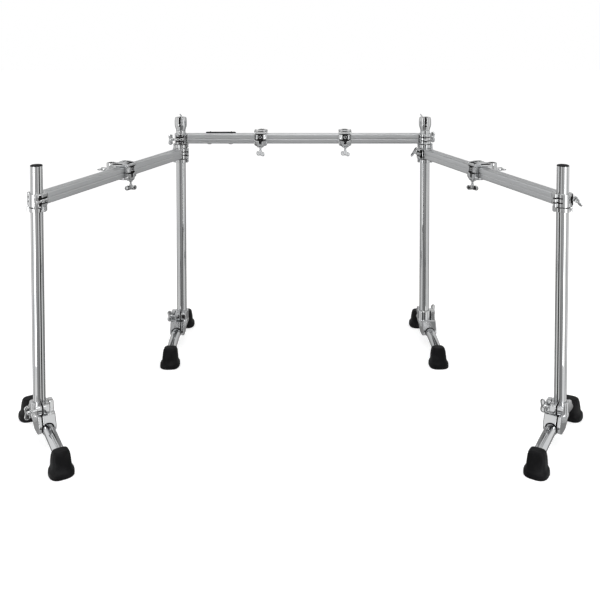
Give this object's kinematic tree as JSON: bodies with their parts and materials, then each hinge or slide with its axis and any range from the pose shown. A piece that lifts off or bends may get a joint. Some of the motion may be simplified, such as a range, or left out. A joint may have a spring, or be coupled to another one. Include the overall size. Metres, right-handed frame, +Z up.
{
  "type": "drum rack frame",
  "caption": "Free-standing drum rack frame: square bars clamped to round posts, each post on an arched T-leg with rubber boots, with sliding accessory clamps and tube holders.",
  "frame": {"origin": "on the floor under the middle of the frame's bounding box", "axes": "+Z up; +X to the right as seen by the drummer who sits inside the frame's open side facing the front bar; +Y away from the drummer, towards the front bar"},
  "size_m": [1.883, 1.1822, 0.9253],
  "materials": {
    "chrome_tube": "polished chrome plate on steel tube",
    "chrome_casting": "chrome plate on castings, a little softer than the tubes",
    "bar_aluminium": "satin, drawn along its length",
    "boot_rubber": "matte black rubber",
    "cap_plastic": "matte black plastic"
  },
  "bodies": {
    "front_frame": {"front_bar": "bar_aluminium", "front_bar_clamp_left": "chrome_casting", "front_bar_clamp_right": "chrome_casting", "post_left_back": "chrome_tube", "post_right_back": "chrome_tube", "memory_lock_left_back_upper": "chrome_casting", "memory_lock_left_back_lower": "chrome_casting", "memory_lock_right_back_upper": "chrome_casting", "memory_lock_right_back_lower": "chrome_casting"},
    "left_wing": {"left_bar": "bar_aluminium", "left_bar_clamp_front": "chrome_casting", "left_bar_clamp_back": "chrome_casting"},
    "left_front_post": {"post_left_front": "chrome_tube", "post_cap_left": "cap_plastic", "memory_lock_left_front": "chrome_casting"},
    "left_bar_clamp_wing_front": {"left_bar_clamp_wing_front": "chrome_casting"},
    "left_bar_clamp_wing_back": {"left_bar_clamp_wing_back": "chrome_casting"},
    "front_bar_clamp_wing_left": {"front_bar_clamp_wing_left": "chrome_casting"},
    "tube_holder_left": {"tube_holder_left": "chrome_casting"},
    "tube_holder_wing_left": {"tube_holder_wing_left": "chrome_casting"},
    "leg_left_front": {"leg_casting_left_front": "chrome_casting", "leg_tube_left_front": "chrome_tube", "boot_left_front_near": "boot_rubber", "boot_left_front_far": "boot_rubber"},
    "leg_wing_left_front": {"leg_wing_left_front": "chrome_casting"},
    "leg_left_back": {"leg_casting_left_back": "chrome_casting", "leg_tube_left_back": "chrome_tube", "boot_left_back_near": "boot_rubber", "boot_left_back_far": "boot_rubber"},
    "leg_wing_left_back": {"leg_wing_left_back": "chrome_casting"},
    "right_wing": {"right_bar": "bar_aluminium", "right_bar_clamp_front": "chrome_casting", "right_bar_clamp_back": "chrome_casting"},
    "right_front_post": {"post_right_front": "chrome_tube", "post_cap_right": "cap_plastic", "memory_lock_right_front": "chrome_casting"},
    "right_bar_clamp_wing_front": {"right_bar_clamp_wing_front": "chrome_casting"},
    "right_bar_clamp_wing_back": {"right_bar_clamp_wing_back": "chrome_casting"},
    "front_bar_clamp_wing_right": {"front_bar_clamp_wing_right": "chrome_casting"},
    "tube_holder_right": {"tube_holder_right": "chrome_casting"},
    "tube_holder_wing_right": {"tube_holder_wing_right": "chrome_casting"},
    "leg_right_front": {"leg_casting_right_front": "chrome_casting", "leg_tube_right_front": "chrome_tube", "boot_right_front_near": "boot_rubber", "boot_right_front_far": "boot_rubber"},
    "leg_wing_right_front": {"leg_wing_right_front": "chrome_casting"},
    "leg_right_back": {"leg_casting_right_back": "chrome_casting", "leg_tube_right_back": "chrome_tube", "boot_right_back_near": "boot_rubber", "boot_right_back_far": "boot_rubber"},
    "leg_wing_right_back": {"leg_wing_right_back": "chrome_casting"},
    "accessory_clamp_front_left": {"accessory_clamp_front_left": "chrome_casting"},
    "accessory_wing_front_left": {"accessory_wing_front_left": "chrome_casting"},
    "accessory_clamp_front_right": {"accessory_clamp_front_right": "chrome_casting"},
    "accessory_wing_front_right": {"accessory_wing_front_right": "chrome_casting"},
    "accessory_clamp_left": {"accessory_clamp_left": "chrome_casting"},
    "accessory_wing_left": {"accessory_wing_left": "chrome_casting"},
    "accessory_clamp_right": {"accessory_clamp_right": "chrome_casting"},
    "accessory_wing_right": {"accessory_wing_right": "chrome_casting"}
  },
  "joints": [
    {"name": "left_wing_turn", "type": "hinge", "parent": "front_frame", "child": "left_wing", "pos_m": [-0.486, 0.35862, 0.0905], "axis": [0, 0, 1], "range_deg": [-66.5, 23.5]},
    {"name": "left_front_post_height", "type": "slide", "parent": "left_wing", "child": "left_front_post", "axis": [0, 0, 1], "range_m": [-0.08, 0]},
    {"name": "left_bar_clamp_wing_front_turn", "type": "hinge", "parent": "left_wing", "child": "left_bar_clamp_wing_front", "pos_m": [-0.79118, -0.41599, 0.775], "axis": [-0.3987, -0.9171, 0], "continuous": true},
    {"name": "left_bar_clamp_wing_back_turn", "type": "hinge", "parent": "left_wing", "child": "left_bar_clamp_wing_back", "pos_m": [-0.50779, 0.38123, 0.775], "axis": [0.3987, 0.9171, 0], "continuous": true},
    {"name": "front_bar_clamp_wing_left_turn", "type": "hinge", "parent": "front_frame", "child": "front_bar_clamp_wing_left", "pos_m": [-0.49805, 0.32962, 0.834], "axis": [-1, 0, 0], "continuous": true},
    {"name": "tube_holder_left_turn", "type": "hinge", "parent": "front_frame", "child": "tube_holder_left", "pos_m": [-0.486, 0.35862, 0.8665], "axis": [0, 0, 1], "continuous": true},
    {"name": "tube_holder_wing_left_turn", "type": "hinge", "parent": "tube_holder_left", "child": "tube_holder_wing_left", "pos_m": [-0.486, 0.39192, 0.9065], "axis": [0, 1, 0], "continuous": true},
    {"name": "leg_left_front_turn", "type": "hinge", "parent": "left_front_post", "child": "leg_left_front", "pos_m": [-0.81297, -0.39337, 0], "axis": [0, 0, 1], "continuous": true},
    {"name": "leg_wing_left_front_turn", "type": "hinge", "parent": "leg_left_front", "child": "leg_wing_left_front", "pos_m": [-0.81389, -0.43264, 0.128], "axis": [-0.8526, -0.5225, 0], "continuous": true},
    {"name": "leg_left_back_turn", "type": "hinge", "parent": "front_frame", "child": "leg_left_back", "pos_m": [-0.486, 0.35862, 0], "axis": [0, 0, 1], "continuous": true},
    {"name": "leg_wing_left_back_turn", "type": "hinge", "parent": "leg_left_back", "child": "leg_wing_left_back", "pos_m": [-0.5073, 0.32562, 0.128], "axis": [-1, 0, 0], "continuous": true},
    {"name": "right_wing_turn", "type": "hinge", "parent": "front_frame", "child": "right_wing", "pos_m": [0.486, 0.35862, 0.0905], "axis": [0, 0, 1], "range_deg": [-23.5, 66.5]},
    {"name": "right_front_post_height", "type": "slide", "parent": "right_wing", "child": "right_front_post", "axis": [0, 0, 1], "range_m": [-0.08, 0]},
    {"name": "right_bar_clamp_wing_front_turn", "type": "hinge", "parent": "right_wing", "child": "right_bar_clamp_wing_front", "pos_m": [0.84437, -0.39286, 0.775], "axis": [0.3987, -0.9171, 0], "continuous": true},
    {"name": "right_bar_clamp_wing_back_turn", "type": "hinge", "parent": "right_wing", "child": "right_bar_clamp_wing_back", "pos_m": [0.4546, 0.3581, 0.775], "axis": [-0.3987, 0.9171, 0], "continuous": true},
    {"name": "front_bar_clamp_wing_right_turn", "type": "hinge", "parent": "front_frame", "child": "front_bar_clamp_wing_right", "pos_m": [0.49805, 0.38762, 0.834], "axis": [1, 0, 0], "continuous": true},
    {"name": "tube_holder_right_turn", "type": "hinge", "parent": "front_frame", "child": "tube_holder_right", "pos_m": [0.486, 0.35862, 0.8665], "axis": [0, 0, 1], "continuous": true},
    {"name": "tube_holder_wing_right_turn", "type": "hinge", "parent": "tube_holder_right", "child": "tube_holder_wing_right", "pos_m": [0.486, 0.39192, 0.9065], "axis": [0, 1, 0], "continuous": true},
    {"name": "leg_right_front_turn", "type": "hinge", "parent": "right_front_post", "child": "leg_right_front", "pos_m": [0.81297, -0.39337, 0], "axis": [0, 0, 1], "continuous": true},
    {"name": "leg_wing_right_front_turn", "type": "hinge", "parent": "leg_right_front", "child": "leg_wing_right_front", "pos_m": [0.77757, -0.41038, 0.128], "axis": [-0.8526, 0.5225, 0], "continuous": true},
    {"name": "leg_right_back_turn", "type": "hinge", "parent": "front_frame", "child": "leg_right_back", "pos_m": [0.486, 0.35862, 0], "axis": [0, 0, 1], "continuous": true},
    {"name": "leg_wing_right_back_turn", "type": "hinge", "parent": "leg_right_back", "child": "leg_wing_right_back", "pos_m": [0.50465, 0.39319, 0.128], "axis": [0.9969, 0.0785, 0], "continuous": true},
    {"name": "accessory_clamp_front_left_slide", "type": "slide", "parent": "front_frame", "child": "accessory_clamp_front_left", "axis": [1, 0, 0], "range_m": [-0.05, 0.13]},
    {"name": "accessory_wing_front_left_turn", "type": "hinge", "parent": "accessory_clamp_front_left", "child": "accessory_wing_front_left", "pos_m": [-0.1675, 0.33112, 0.7989], "axis": [0, 0, -1], "continuous": true},
    {"name": "accessory_clamp_front_right_slide", "type": "slide", "parent": "front_frame", "child": "accessory_clamp_front_right", "axis": [1, 0, 0], "range_m": [-0.13, 0.25]},
    {"name": "accessory_wing_front_right_turn", "type": "hinge", "parent": "accessory_clamp_front_right", "child": "accessory_wing_front_right", "pos_m": [0.1675, 0.33112, 0.7989], "axis": [0, 0, -1], "continuous": true},
    {"name": "accessory_clamp_left_slide", "type": "slide", "parent": "left_wing", "child": "accessory_clamp_left", "axis": [0.3987, 0.9171, 0], "range_m": [-0.34, 0.3]},
    {"name": "accessory_wing_left_turn", "type": "hinge", "parent": "accessory_clamp_left", "child": "accessory_wing_left", "pos_m": [-0.60951, 0.00559, 0.7399], "axis": [0, 0, -1], "continuous": true},
    {"name": "accessory_clamp_right_slide", "type": "slide", "parent": "right_wing", "child": "accessory_clamp_right", "axis": [0.3987, -0.9171, 0], "range_m": [-0.3, 0.34]},
    {"name": "accessory_wing_right_turn", "type": "hinge", "parent": "accessory_clamp_right", "child": "accessory_wing_right", "pos_m": [0.60951, 0.00559, 0.7399], "axis": [0, 0, -1], "continuous": true}
  ]
}
